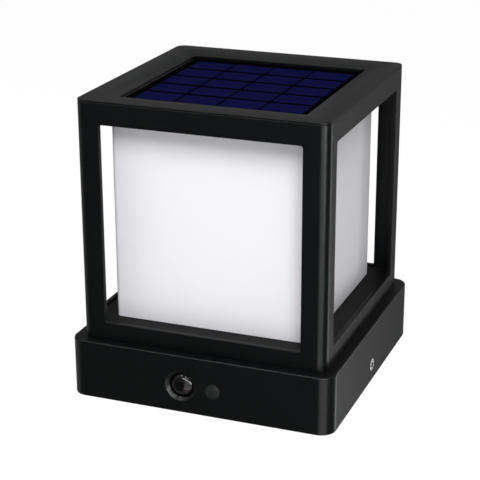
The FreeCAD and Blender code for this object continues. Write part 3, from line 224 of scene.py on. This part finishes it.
FINISHES = {
    "black_shell": finish("satin_black", ((0.0022, 0.0025, 0.0028), (0.0032, 0.0035, 0.0038)),
                          60, (0.27, 0.33), (5200, 8e-6), Specular_IOR_Level=0.08),
    "black_floor": finish("floor_black", ((0.0024, 0.0026, 0.0028), (0.0034, 0.0036, 0.0038)),
                          60, (0.42, 0.52), (5200, 14e-6), Specular_IOR_Level=0.06),
    "black_rubber": finish("seal_rubber", ((0.008, 0.008, 0.008), (0.014, 0.014, 0.014)),
                           300, (0.7, 0.85), (3000, 20e-6), Specular_IOR_Level=0.1),
    # Painted shade: the stainless goes near black round a spot inside each side screw's socket.
    "stainless": over_colour(
        finish("stainless_steel", ((0.24, 0.24, 0.245), (0.31, 0.31, 0.31)),
               500, (0.30, 0.42), (4000, 4e-6), Metallic=1.0),
        (0.004, 0.004, 0.004), socket_shade),
    "zinc_steel": finish("zinc_plate", ((0.46, 0.47, 0.48), (0.60, 0.61, 0.60)),
                         120, (0.32, 0.48), (1500, 6e-6), Metallic=1.0),
    "brass_insert": finish("turned_brass", ((0.62, 0.42, 0.16), (0.74, 0.54, 0.24)),
                           800, (0.28, 0.4), (3000, 5e-6), Metallic=1.0),
    "smoked_lens": over_colour(
        finish("smoked_dome", ((0.0012, 0.0012, 0.0016), (0.0026, 0.0024, 0.0026)),
               200, (0.06, 0.10), None, Specular_IOR_Level=0.09),
        (0.040, 0.022, 0.024), lens_eye),
    "sensor_can": finish("plated_can", ((0.6, 0.6, 0.6), (0.72, 0.72, 0.72)),
                         400, (0.2, 0.3), None, Metallic=1.0),
    "green_board": finish("green_board", ((0.008, 0.075, 0.028), (0.012, 0.11, 0.04)),
                          260, (0.3, 0.4), (2400, 10e-6)),
    "black_component": finish("moulded_black", ((0.016, 0.016, 0.016), (0.026, 0.026, 0.026)),
                              400, (0.5, 0.65), (4000, 10e-6)),
    "opal_diffuser": finish("opal_diffuser", ((0.860, 0.848, 0.880), (0.875, 0.863, 0.895)),
                            25, (0.42, 0.48), (900, 3e-6), Specular_IOR_Level=0.2),
    "column_aluminium": finish("extruded_aluminium", ((0.66, 0.66, 0.67), (0.76, 0.76, 0.77)),
                               200, (0.3, 0.42), (1800, 6e-6), Metallic=1.0),
    "white_board": finish("white_board", ((0.72, 0.72, 0.70), (0.8, 0.8, 0.78)),
                          300, (0.35, 0.45), (2400, 8e-6)),
    "led_package": finish("led_phosphor", ((0.78, 0.66, 0.18), (0.86, 0.76, 0.26)),
                          900, (0.4, 0.5), None),
    "panel_black": finish("panel_laminate", ((0.0012, 0.0012, 0.0016), (0.002, 0.002, 0.0026)),
                          200, (0.3, 0.4), None, Specular_IOR_Level=0.0),
    "solar_cell": over_colour(
        finish("solar_cell", ((0.0052, 0.0060, 0.047), (0.0078, 0.0086, 0.063)),
               90, (0.35, 0.45), None, Specular_IOR_Level=0.0),
        (0.02, 0.022, 0.12), cell_fingers),
    "clear_layer": finish("clear_layer", ((0.0, 0.0, 0.0), (0.002, 0.002, 0.002)),
                          100, (0.06, 0.10), None, Specular_IOR_Level=0.0, Alpha=0.04),
    "battery_wrap": finish("shrink_sleeve", ((0.02, 0.13, 0.24), (0.03, 0.17, 0.30)),
                           200, (0.25, 0.35), (600, 10e-6)),
    "black_lead": finish("lead_insulation", ((0.010, 0.010, 0.010), (0.02, 0.02, 0.02)),
                         400, (0.45, 0.6), (2500, 8e-6)),
    "grey_button": finish("button_silicone", ((0.0125, 0.0130, 0.0134), (0.0155, 0.0160, 0.0164)),
                          400, (0.46, 0.54), (4200, 6e-6), Specular_IOR_Level=0.05),
}


def dress(thing, slot):
    """Give a piece or a node the finish of a slot, and nothing else."""
    thing.data.materials.clear()
    thing.data.materials.append(FINISHES[slot])


slot_of = {row["node"]: row["material_slot"] for row in frame["record"]["subparts"]}
for node_name, node in frame["nodes"].items():
    dress(node, slot_of[node_name])

# --------------------------------------------------------------------- making pieces

SMOOTH_UNDER = math.radians(35)
WELD = 0.001 * MM
FLAT_UNDER = math.radians(0.3)
EDGE_OVER = math.radians(40)
EDGE_STEPS = 2
ROUND_STEPS = 48
SLIM = 1e-6


def piece(name, shape, *nodes):
    """A visible piece that stands for CAD nodes, in their finish and on their body."""
    bmesh.ops.recalc_face_normals(shape, faces=shape.faces)
    mesh = bpy.data.meshes.new(name)
    shape.to_mesh(mesh)
    shape.free()
    mesh.shade_smooth()
    mesh.set_sharp_from_angle(angle=SMOOTH_UNDER)
    thing = bpy.data.objects.new(name, mesh)
    bpy.context.collection.objects.link(thing)
    slot = slot_of[nodes[0]]
    dress(thing, slot)
    even = thing.modifiers.new("even_normals", "WEIGHTED_NORMAL")
    even.keep_sharp = True
    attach(thing, frame["nodes"][nodes[0]]["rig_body"])
    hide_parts(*nodes)


def welded(node_name):
    """A copy of a CAD node's mesh whose triangles share their corners."""
    shape = bmesh.new()
    shape.from_mesh(frame["nodes"][node_name].data)
    bmesh.ops.remove_doubles(shape, verts=shape.verts, dist=WELD)
    return shape


def softened(node_name, radius):
    """The node's shape with its outward edges rounded, as moulding leaves them."""
    shape = welded(node_name)
    bmesh.ops.dissolve_limit(shape, angle_limit=FLAT_UNDER, verts=shape.verts,
                             edges=shape.edges, delimit=set())
    edges = [edge for edge in shape.edges
             if edge.is_convex and edge.calc_face_angle(0) > EDGE_OVER]
    bmesh.ops.bevel(shape, geom=edges, offset=radius, offset_type="OFFSET",
                    segments=EDGE_STEPS, profile=0.5, affect="EDGES", clamp_overlap=False)
    piece("soft_" + node_name, shape, node_name)


def turned(shape, origin, axis, rings, shift=None):
    """Add a turned solid to a shape.

    rings are (distance along the axis, radius) from one end to the other. A radius of 0
    closes the end, and a radius may be a function of the angle round the axis. shift
    moves each point, if it is given.
    """
    origin, axis = Vector(origin), Vector(axis)
    side = Vector((1, 0, 0)) if abs(axis.z) > 0.5 else Vector((0, 0, 1))
    over = axis.cross(side)
    loops = []
    for along, radius in rings:
        middle = origin + axis * along
        loop = []
        for step in range(ROUND_STEPS if radius else 1):
            angle = 2 * math.pi * step / ROUND_STEPS
            reach = radius(angle) if callable(radius) else radius
            spot = middle + side * (reach * math.cos(angle)) + over * (reach * math.sin(angle))
            loop.append(shape.verts.new(shift(spot) if shift else spot))
        loops.append(loop if radius else loop * ROUND_STEPS)
    for near_loop, far_loop in zip(loops, loops[1:]):
        for step in range(ROUND_STEPS):
            after = (step + 1) % ROUND_STEPS
            ring = (near_loop[step], near_loop[after], far_loop[after], far_loop[step])
            shape.faces.new(list(dict.fromkeys(ring)))


def arc(start, end, steps):
    """Ring places on a quarter ellipse that sets off along the axis and ends square to it."""
    places = []
    for step in range(steps + 1):
        angle = math.pi / 2 * step / steps
        places.append((start[0] + (end[0] - start[0]) * math.sin(angle),
                       start[1] + (end[1] - start[1]) * (1 - math.cos(angle))))
    return places


THREAD_STEPS = 6


def thread(start, end, crest, root, pitch):
    """Rings of a screw thread: its ridge winds from root to crest and fades at both ends."""
    rings = []
    count = math.ceil((end - start) / pitch * THREAD_STEPS)
    for step in range(count + 1):
        along = start + (end - start) * step / count
        fade = min(1, (along - start) / pitch, (end - along) / pitch)

        def ridge(angle, along=along, height=fade * (crest - root)):
            turn = (along / pitch - angle / (2 * math.pi)) % 1
            return root + height * (1 - abs(2 * turn - 1))
        rings.append((along, ridge))
    return rings


def hexagon(flats):
    """Radius of a hexagon of that width across its flats, by angle."""
    def reach(angle):
        return flats / 2 / math.cos((angle + math.pi / 6) % (math.pi / 3) - math.pi / 6)
    return reach


def cross(length, width):
    """Radius of a cross of that length, with arms of that width, by angle."""
    def reach(angle):
        along = max(abs(math.cos(angle)), SLIM)
        across = max(abs(math.sin(angle)), SLIM)
        return max(min(length / 2 / along, width / 2 / across),
                   min(length / 2 / across, width / 2 / along))
    return reach


# ------------------------------------------------------------------ softened mouldings

EDGE_RADIUS = {
    "base_housing": 0.35 * MM,
    "lantern_frame": 0.35 * MM,
    "top_cover": 0.35 * MM,
    "floor_tray": 0.3 * MM,
    "diffuser": 0.25 * MM,
    "base_cover": 0.3 * MM,
    "mounting_plate": 0.2 * MM,
    "light_column": 0.15 * MM,
    "sensor_pod": 0.3 * MM,
    "battery_holder": 0.4 * MM,
}

for node_name, radius in EDGE_RADIUS.items():
    softened(node_name, radius)

# ------------------------------------------------------------------------- side screws

SIDE_SHANK = 2.0 * MM
SIDE_ROOT = 1.65 * MM
SIDE_PITCH = 0.7 * MM
SIDE_TIP = 0.4 * MM
SIDE_HEAD_HEIGHT = 1.9 * MM
SIDE_HEAD_STEPS = 4
HEAD_EDGE = 0.25 * MM
SOCKET_FLATS = 3.0 * MM
SOCKET_LEAD = 0.05 * MM
SOCKET_DEPTH = 1.3 * MM


def side_screw(node_name, out):
    """Flat-head screw with a hexagon socket and a threaded shank; out is -1 or 1 in X."""
    low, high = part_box(node_name)
    tip, end = sorted((low[0] * out, high[0] * out))
    seat = end - SIDE_HEAD_HEIGHT
    radius = (high[1] - low[1]) / 2
    rings = [(tip, 0), (tip, SIDE_SHANK - SIDE_TIP)]
    rings += thread(tip + SIDE_TIP, seat, SIDE_SHANK, SIDE_ROOT, SIDE_PITCH)
    rings += [(seat, radius - HEAD_EDGE), (seat + HEAD_EDGE, radius)]
    rings += arc((end - HEAD_EDGE, radius), (end, radius - HEAD_EDGE), SIDE_HEAD_STEPS)
    rings += [(end, SOCKET_FLATS / 2 + 2 * SOCKET_LEAD),
              (end - SOCKET_LEAD, hexagon(SOCKET_FLATS)),
              (end - SOCKET_DEPTH, hexagon(SOCKET_FLATS)), (end - SOCKET_DEPTH, 0)]
    shape = bmesh.new()
    middle = middle_of(low, high)
    turned(shape, (0, middle.y, middle.z), (out, 0, 0), rings)
    piece("socket_screw_" + node_name.split("_")[-1], shape, node_name)


side_screw("side_screw_left", -1)
side_screw("side_screw_right", 1)

# ------------------------------------------------------------------ cross-head screws

PAN_HEIGHT = 1.8 * MM
PAN_RADIUS = 2.9 * MM
PAN_EDGE = 0.2 * MM
PAN_FLAT = 1.9 * MM
PAN_SHANK = 1.5 * MM
PAN_ROOT = 1.1 * MM
PAN_PITCH = 1.1 * MM
PAN_POINT = 0.8 * MM
PAN_STEPS = 6
RECESS_LENGTH = 3.2 * MM
RECESS_WIDTH = 0.95 * MM
RECESS_DEPTH = 1.2 * MM


def solids(node_name):
    """The lowest and highest corners of each separate solid of a node."""
    shape = welded(node_name)
    waiting = set(shape.verts)
    boxes = []
    while waiting:
        grown, edge_of_growth = set(), [waiting.pop()]
        while edge_of_growth:
            vertex = edge_of_growth.pop()
            grown.add(vertex)
            for edge in vertex.link_edges:
                other = edge.other_vert(vertex)
                if other in waiting:
                    waiting.remove(other)
                    edge_of_growth.append(other)
        boxes.append([Vector([pick(vertex.co[way] for vertex in grown) for way in range(3)])
                      for pick in (min, max)])
    shape.free()
    return boxes


def cross_screws(node_name, axis, sunk=False):
    """Screws with a cross recess and a pan head, or a sunk one; axis points to their tips."""
    shape = bmesh.new()
    axis = Vector(axis)
    for low, high in solids(node_name):
        middle = middle_of(low, high)
        length = abs((high - low).dot(axis))
        head = middle - axis * (length / 2)
        rings = [(RECESS_DEPTH, 0), (RECESS_DEPTH, cross(RECESS_LENGTH / 2, RECESS_WIDTH)),
                 (0, cross(RECESS_LENGTH, RECESS_WIDTH))]
        if sunk:
            rings += [(0, PAN_RADIUS - PAN_EDGE), (PAN_EDGE / 2, PAN_RADIUS - PAN_EDGE / 2)]
        else:
            rings += [(0, PAN_FLAT)]
            rings += arc((PAN_HEIGHT - PAN_EDGE, PAN_RADIUS), (0, PAN_FLAT), PAN_STEPS)[-2::-1]
            rings += [(PAN_HEIGHT, PAN_RADIUS - PAN_EDGE)]
        rings += thread(PAN_HEIGHT, length - PAN_POINT, PAN_SHANK, PAN_ROOT, PAN_PITCH)
        rings += [(length, PAN_ROOT / 3), (length, 0)]
        turned(shape, head, axis, rings)
    piece("cross_head_" + node_name, shape, node_name)


cross_screws("base_cover_screws", (0, 0, 1), sunk=True)
for node_name, axis in (("frame_screws", (0, 0, 1)), ("light_column_screws", (0, 0, -1)),
                        ("top_cover_screws", (0, 0, 1)), ("main_board_screws", (0, 0, -1)),
                        ("sensor_pod_screws", (0, -1, 0))):
    cross_screws(node_name, axis)

# ------------------------------------------------------------------ lens and button

LENS_RADIUS = 6.7 * MM
LENS_RISE = 2.7 * MM
LENS_SKIN = 1.0 * MM
LENS_FLANGE = 1.0 * MM
LENS_EDGE = 0.2 * MM
LENS_RINGS = 36
HOLLOW_RINGS = 12
LENSLET = 2.3 * MM
LENSLET_SAG = 0.02 * MM
LENSLET_FADE = LENSLET / 3


def lenslet_depth(across, up):
    """How far the lens's face falls behind its dome, in a hexagonal grid of lenslets."""
    row_height = LENSLET * math.sqrt(3) / 2
    nearest = LENSLET
    for row in range(math.floor(up / row_height), math.floor(up / row_height) + 2):
        shifted = LENSLET / 2 * (row % 2)
        column = round((across - shifted) / LENSLET)
        apart = math.hypot(across - shifted - column * LENSLET, up - row * row_height)
        nearest = min(nearest, apart)
    return LENSLET_SAG * (2 * nearest / LENSLET) ** 2


def faceted_lens():
    """Smoked dome in a grid of shallow lenslets, with the flange that holds it."""
    low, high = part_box("pir_lens")
    middle = middle_of(low, high)
    flange = (high[0] - low[0]) / 2
    back = high[1] - low[1]
    ball = (LENS_RADIUS ** 2 + LENS_RISE ** 2) / (2 * LENS_RISE)

    def cap(reach, radius=ball):
        return radius - math.sqrt(radius ** 2 - reach ** 2)

    def facets(spot):
        """Sink the points of the dome's face, and leave the rest of the lens alone."""
        across, up = spot.x - middle.x, spot.z - middle.z
        reach = math.hypot(across, up)
        if reach < LENS_RADIUS - SLIM and spot.y < low[1] + cap(reach) + SLIM:
            spot.y += lenslet_depth(across, up) * min(1, (LENS_RADIUS - reach) / LENSLET_FADE)
        return spot

    front = [(cap(LENS_RADIUS * step / LENS_RINGS), LENS_RADIUS * step / LENS_RINGS)
             for step in range(LENS_RINGS + 1)]
    hollow = LENS_RADIUS - LENS_SKIN
    inside = [(LENS_SKIN + cap(reach, ball - LENS_SKIN), reach)
              for reach in (hollow * step / HOLLOW_RINGS for step in range(HOLLOW_RINGS, -1, -1))]
    rings = front + [(back - LENS_FLANGE, LENS_RADIUS), (back - LENS_FLANGE, flange - LENS_EDGE),
                     (back - LENS_FLANGE + LENS_EDGE, flange), (back, flange), (back, hollow)]
    rings += inside
    shape = bmesh.new()
    turned(shape, (middle.x, low[1], middle.z), (0, 1, 0), rings, facets)
    piece("faceted_lens", shape, "pir_lens")


BUTTON_RADIUS = 4.2 * MM
BUTTON_CROWN = 0.85 * MM
BUTTON_SHOULDER = 0.4 * MM
BUTTON_STEM = 1.5 * MM
BUTTON_FLANGE_FRONT = 4.0 * MM
BUTTON_FLANGE_THICKNESS = 1.0 * MM
BUTTON_RINGS = 8
SHOULDER_STEPS = 6


def button_cap():
    """Silicone button: a low crown with a rounded shoulder, a flange and a stem behind."""
    low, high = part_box("mode_button")
    middle = middle_of(low, high)
    flange = (high[0] - low[0]) / 2
    rim = BUTTON_RADIUS - BUTTON_SHOULDER
    rings = [(BUTTON_CROWN * (reach / rim) ** 2, reach)
             for reach in (rim * step / BUTTON_RINGS for step in range(BUTTON_RINGS + 1))]
    start = (BUTTON_CROWN + BUTTON_SHOULDER, BUTTON_RADIUS)
    rings += arc(start, (rings[-1][0], rim), SHOULDER_STEPS)[-2::-1]
    rings += [(BUTTON_FLANGE_FRONT, BUTTON_RADIUS), (BUTTON_FLANGE_FRONT, flange)]
    rings += [(BUTTON_FLANGE_FRONT + BUTTON_FLANGE_THICKNESS, reach)
              for reach in (flange, BUTTON_STEM)]
    rings += [(high[1] - low[1], reach) for reach in (BUTTON_STEM, 0)]
    shape = bmesh.new()
    turned(shape, (middle.x, low[1], middle.z), (0, 1, 0), rings)
    piece("button_cap", shape, "mode_button")


faceted_lens()
button_cap()

# ---------------------------------------------------------------- panel's cells, sheet

CELL_SHOWN = 0.06 * MM
SHEET_GAP = 0.05 * MM
SHEET_EDGE = 0.12 * MM


def thin_cells():
    """The cells as thin as they are, so that the black between them shows from the side."""
    shape = welded("solar_cells")
    low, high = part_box("solar_cells")
    for vertex in shape.verts:
        if vertex.co.z > (low[2] + high[2]) / 2:
            vertex.co.z = low[2] + CELL_SHOWN
    piece("thin_cells", shape, "solar_cells")


def clear_sheet():
    """The clear layer as one sheet that lies just above the cells."""
    shape = welded("panel_clear_layer")
    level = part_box("solar_cells")[1][2] + SHEET_GAP
    cut = bmesh.ops.bisect_plane(shape, geom=shape.verts[:] + shape.edges[:] + shape.faces[:],
                                 plane_co=(0, 0, level), plane_no=(0, 0, 1), clear_inner=True)
    rim = [item for item in cut["geom_cut"] if isinstance(item, bmesh.types.BMEdge)]
    bmesh.ops.contextual_create(shape, geom=rim)
    bmesh.ops.dissolve_limit(shape, angle_limit=FLAT_UNDER, verts=shape.verts,
                             edges=shape.edges, delimit=set())
    edges = [edge for edge in shape.edges if edge.calc_face_angle(0) > EDGE_OVER]
    bmesh.ops.bevel(shape, geom=edges, offset=SHEET_EDGE, offset_type="OFFSET",
                    segments=EDGE_STEPS, profile=0.5, affect="EDGES", clamp_overlap=False)
    piece("clear_sheet", shape, "panel_clear_layer")


thin_cells()
clear_sheet()

# ------------------------------------------------------------------ floor and light

FLOOR_SIZE = 6.0
SHADOW_KEPT = 0.06
PALE = (0.9, 0.9, 0.9, 1)
FLOOR_GLOW = 1.03


def white_to_the_eye(tree, other, white):
    """Mix of a shader with white for what camera, reflections and glass see."""
    rays = tree.nodes.new("ShaderNodeLightPath").outputs
    seen = maths(tree, "MAXIMUM", rays["Is Camera Ray"], rays["Is Glossy Ray"])
    seen = maths(tree, "MAXIMUM", seen, rays["Is Transmission Ray"])
    mix = tree.nodes.new("ShaderNodeMixShader")
    tree.links.new(seen, mix.inputs[0])
    tree.links.new(other, mix.inputs[1])
    tree.links.new(white, mix.inputs[2])
    return mix.outputs[0]


def board(name, corners, build):
    """A flat piece of the studio; build adds its shader and returns the output."""
    mesh = bpy.data.meshes.new(name)
    mesh.from_pydata(corners, [], [(0, 1, 2, 3)])
    material = bpy.data.materials.new(name)
    material.use_nodes = True
    tree = material.node_tree
    tree.nodes.clear()
    output = tree.nodes.new("ShaderNodeOutputMaterial")
    tree.links.new(build(tree), output.inputs["Surface"])
    mesh.materials.append(material)
    flat = bpy.data.objects.new(name, mesh)
    bpy.context.collection.objects.link(flat)
    return flat


def floor():
    """Pale floor that looks white and keeps a trace of the light's shadow."""
    half = FLOOR_SIZE / 2

    def pale(tree):
        paint = add_node(tree, "ShaderNodeBsdfDiffuse", Color=PALE)
        glow = add_node(tree, "ShaderNodeEmission", Strength=FLOOR_GLOW)
        shaded = add_node(tree, "ShaderNodeMixShader", Fac=1 - SHADOW_KEPT)
        tree.links.new(paint.outputs[0], shaded.inputs[1])
        tree.links.new(glow.outputs[0], shaded.inputs[2])
        return white_to_the_eye(tree, paint.outputs[0], shaded.outputs[0])

    flat = board("floor", [(-half, -half, 0), (half, -half, 0), (half, half, 0),
                           (-half, half, 0)], pale)
    flat.visible_glossy = False


WORLD_LIGHT = 0.16


def world():
    """White surroundings to look at, and a softer level of them to light with."""
    sky = bpy.data.worlds.new("studio")
    bpy.context.scene.world = sky
    sky.use_nodes = True
    tree = sky.node_tree
    tree.nodes.clear()
    soft = add_node(tree, "ShaderNodeBackground", Strength=WORLD_LIGHT)
    white = add_node(tree, "ShaderNodeBackground", Strength=1.0)
    for level in (soft, white):
        level.inputs["Color"].default_value = (1, 1, 1, 1)
    output = tree.nodes.new("ShaderNodeOutputWorld")
    tree.links.new(white_to_the_eye(tree, soft.outputs[0], white.outputs[0]),
                   output.inputs["Surface"])


LOOK_AT = Vector((0, 0, 0.09))


def toward(azimuth, elevation):
    """The direction at an azimuth from the front, turning to the right, and an elevation."""
    turn, climb = math.radians(azimuth), math.radians(elevation)
    return Vector((math.sin(turn) * math.cos(climb), -math.cos(turn) * math.cos(climb),
                   math.sin(climb)))


def softbox(name, azimuth, elevation, distance, width, height, level):
    """A rectangular lamp that faces the light; level is how bright it looks."""
    lamp = bpy.data.lights.new(name, "AREA")
    lamp.shape = "RECTANGLE"
    lamp.size, lamp.size_y = width, height
    lamp.energy = level * math.pi * width * height
    box = bpy.data.objects.new(name, lamp)
    away = toward(azimuth, elevation)
    box.location = LOOK_AT + away * distance
    box.rotation_euler = away.to_track_quat("Z", "Y").to_euler()
    bpy.context.collection.objects.link(box)


def card(name, start, end, distance, width, level):
    """A card between two directions that is only seen in reflections, at that level."""
    ends = [toward(*way) * distance for way in (start, end)]
    side = (ends[1] - ends[0]).cross(ends[0] + ends[1]).normalized() * (width / 2)
    corners = [LOOK_AT + spot for spot in (ends[0] - side, ends[1] - side,
                                           ends[1] + side, ends[0] + side)]

    def plain(tree):
        return add_node(tree, "ShaderNodeEmission", Strength=level).outputs[0]

    flat = board(name, corners, plain)
    flat.visible_camera = flat.visible_diffuse = flat.visible_shadow = False
    flat.visible_transmission = False
    flat.data.materials[0].cycles.emission_sampling = "NONE"


floor()
world()
softbox("key", 26, 42, 1.5, 0.7, 0.7, 11.2)
softbox("left_fill", -60, 40, 1.5, 0.8, 0.8, 3.4)
# Dark cards stand where the shell's faces look dark, and bright ones where it gleams.
card("panel_card", (200, -40), (200, 50), 1.3, 1.5, 0.25)
card("left_card", (-125, -45), (-125, 40), 1.3, 1.3, 0.45)
card("front_card", (-28, -55), (-28, 4), 1.3, 1.4, 0.3)
card("corner_card", (32, -45), (32, 15), 1.3, 0.9, 6.5)
card("corner_shade", (92, -45), (92, 15), 1.3, 1.4, 0.3)
card("right_strip", (142, -45), (142, 15), 1.3, 0.15, 7)
card("right_card", (168, -50), (168, 10), 1.3, 0.85, 0.1)
card("edge_card", (-32, 62), (-24, 42), 1.3, 0.3, 22)
card("lens_strip_high", (-7, 31), (36, 12), 1.0, 0.07, 75)
card("lens_strip_low", (36, 12), (58, -13), 1.0, 0.07, 75)
card("cone_light", (60, -8), (52, 48), 1.3, 0.35, 6)

# --------------------------------------------------------------------------- camera

CAMERA_PLACE = (0.29309, -0.77196, 0.37858)
CAMERA_YAW = 0.36782
CAMERA_PITCH = -0.34820
CAMERA_ROLL = -0.00271
LENS_MM = 109.87
SENSOR_MM = 36


def camera():
    """The photograph's view of the light."""
    data = bpy.data.cameras.new("camera")
    data.lens = LENS_MM
    data.sensor_width = SENSOR_MM
    eye = bpy.data.objects.new("camera", data)
    turn = (Matrix.Rotation(CAMERA_YAW, 4, "Z")
            @ Matrix.Rotation(math.pi / 2 + CAMERA_PITCH, 4, "X")
            @ Matrix.Rotation(CAMERA_ROLL, 4, "Z"))
    eye.matrix_world = Matrix.Translation(CAMERA_PLACE) @ turn
    bpy.context.collection.objects.link(eye)
    bpy.context.scene.camera = eye


camera()
bpy.context.scene.view_settings.view_transform = "Standard"
